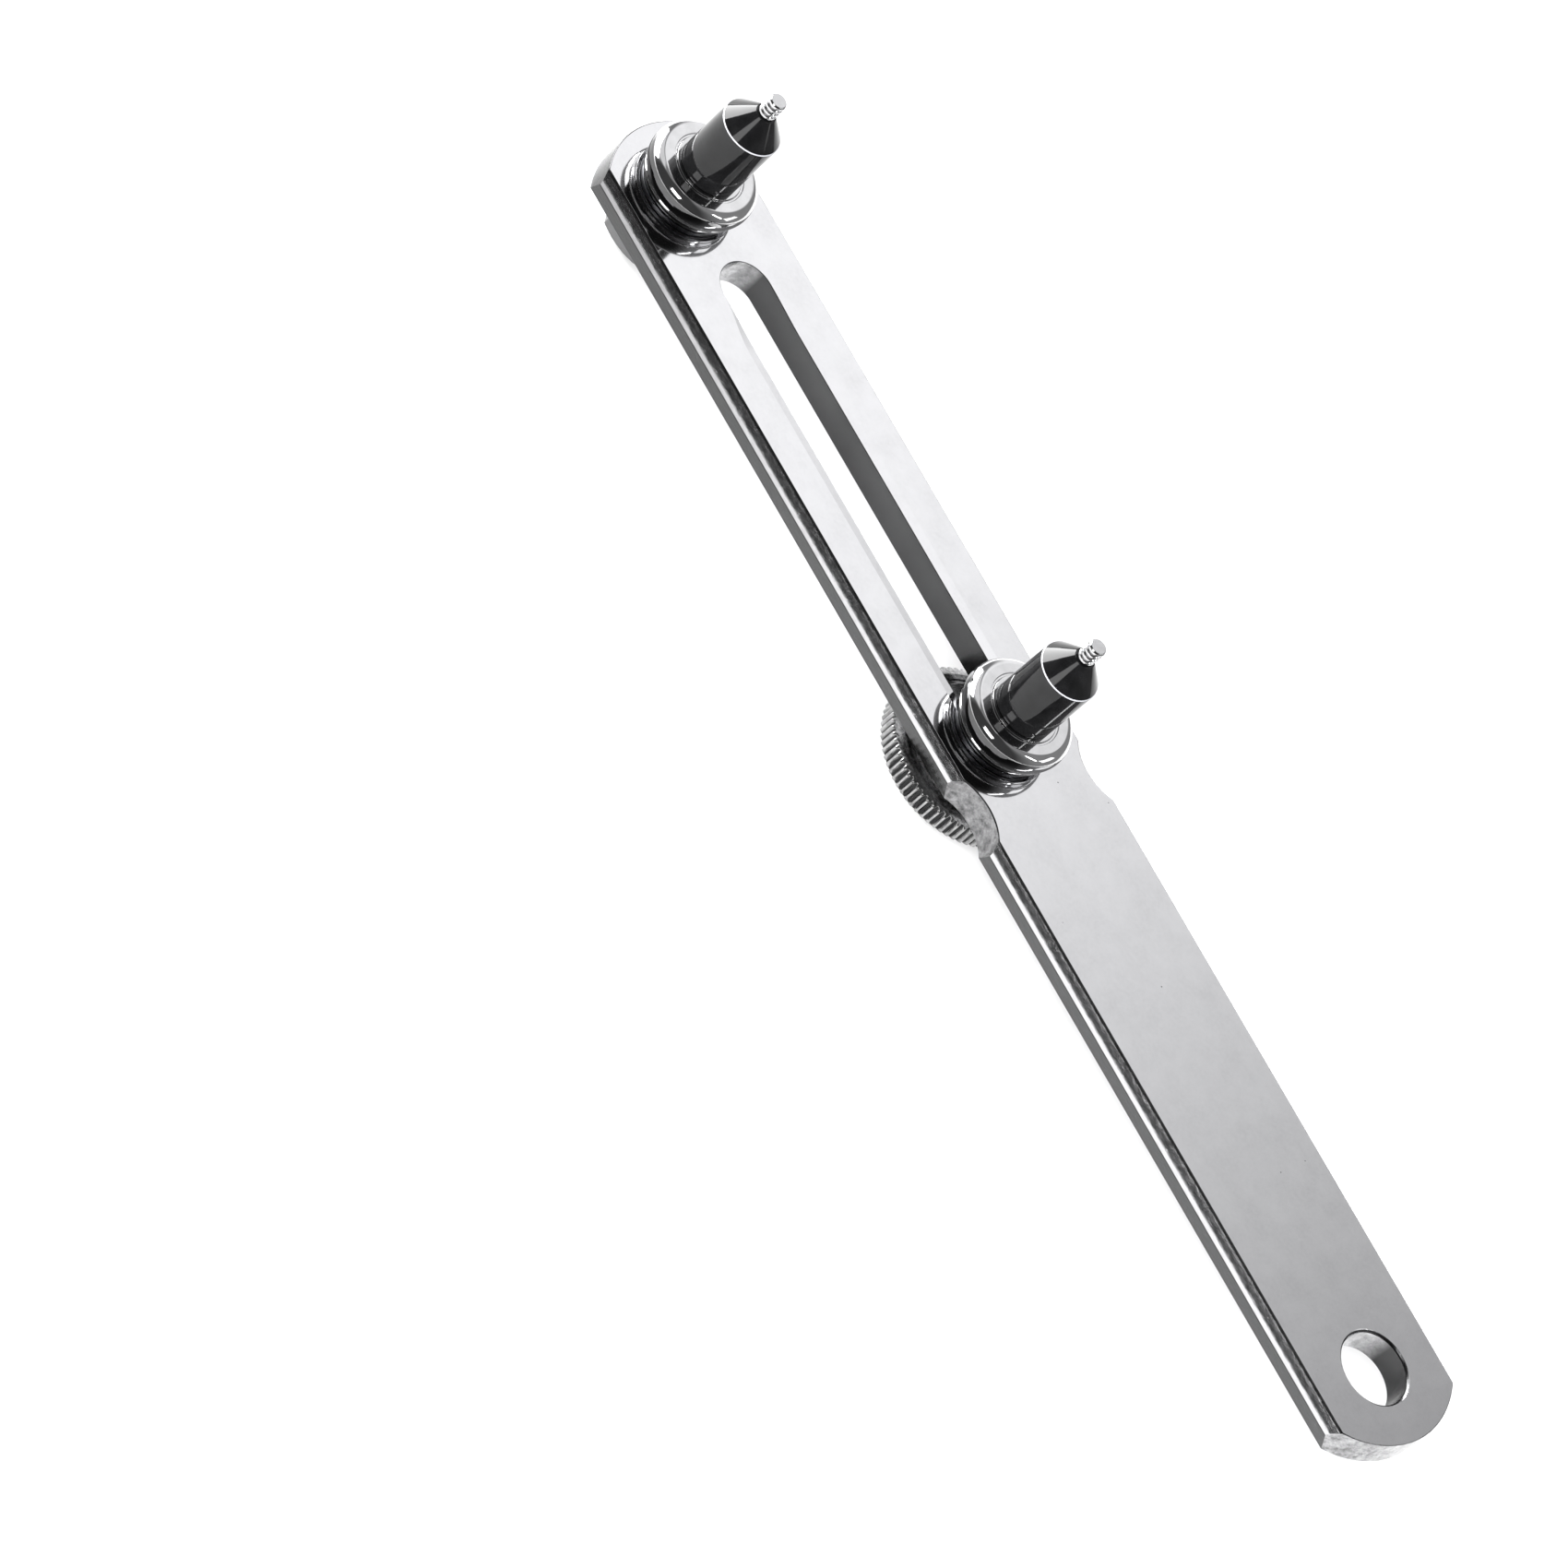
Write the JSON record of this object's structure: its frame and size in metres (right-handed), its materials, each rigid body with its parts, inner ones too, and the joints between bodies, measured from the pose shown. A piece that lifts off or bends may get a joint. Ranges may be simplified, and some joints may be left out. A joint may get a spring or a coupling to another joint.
{
  "type": "case back opener",
  "caption": "Slotted flat steel bar with a fixed and a sliding pin in round collars; a knurled thumb nut clamps the slider at the width of a watch case back's notches.",
  "frame": {"origin": "under the middle of the bar's length and width, on the surface that the thumb cap stands on", "axes": "+X from the head (fixed pin) to the tail (hang hole), +Z the way the pins point, +Y to complete a right-handed frame"},
  "size_m": [0.143, 0.0182, 0.0243],
  "materials": {
    "bar_nickel": "nickel plated, polished and lightly brushed",
    "socket_chrome": "turned and polished",
    "black_gloss_steel": "hardened steel, black and glossy",
    "tip_steel": "bright turned steel",
    "knurl_nickel": "nickel plated straight knurl",
    "cap_chrome": "mirror polished",
    "nut_nickel": "nickel plated",
    "bright_steel": "stamped and tumbled",
    "dark_spring_steel": "blackened spring steel"
  },
  "bodies": {
    "handle": {"handle_bar": "bar_nickel", "head_socket": "socket_chrome", "head_base_washer": "dark_spring_steel", "head_flat_washer": "bright_steel", "head_lock_washer": "dark_spring_steel", "head_hex_nut": "nut_nickel"},
    "fixed_bit": {"fixed_pin": "black_gloss_steel", "fixed_pin_tip": "tip_steel", "fixed_pin_snap_ring": "dark_spring_steel"},
    "slider": {"slider_socket": "socket_chrome", "slider_base_washer": "dark_spring_steel", "stud_stop_ring": "dark_spring_steel"},
    "sliding_bit": {"sliding_pin": "black_gloss_steel", "sliding_pin_tip": "tip_steel", "sliding_pin_snap_ring": "dark_spring_steel"},
    "clamp_stack": {"clamp_washer": "bright_steel", "disc_spring": "dark_spring_steel"},
    "thumb_knob": {"thumb_nut": "knurl_nickel", "thumb_ring": "cap_chrome", "thumb_cap": "cap_chrome"}
  },
  "joints": [
    {"name": "slider_travel", "type": "slide", "parent": "handle", "child": "slider", "axis": [1, 0, 0], "range_m": [-0.0455, 0.0004]},
    {"name": "nut_travel", "type": "slide", "parent": "slider", "child": "clamp_stack", "axis": [0, 0, -1], "range_m": [0, 0.00076]},
    {"name": "nut_spin", "type": "hinge", "parent": "clamp_stack", "child": "thumb_knob", "pos_m": [-0.0046, 0, 0.003], "axis": [0, 0, -1], "range_deg": [0, 270]},
    {"name": "fixed_pin_pull", "type": "slide", "parent": "handle", "child": "fixed_bit", "axis": [0, 0, 1], "range_m": [0, 0.0055]},
    {"name": "sliding_pin_pull", "type": "slide", "parent": "slider", "child": "sliding_bit", "axis": [0, 0, 1], "range_m": [0, 0.0055]}
  ],
  "couplings": [
    {"joint": "nut_travel", "follows": "nut_spin", "m_per_rad": 0.00015915}
  ]
}
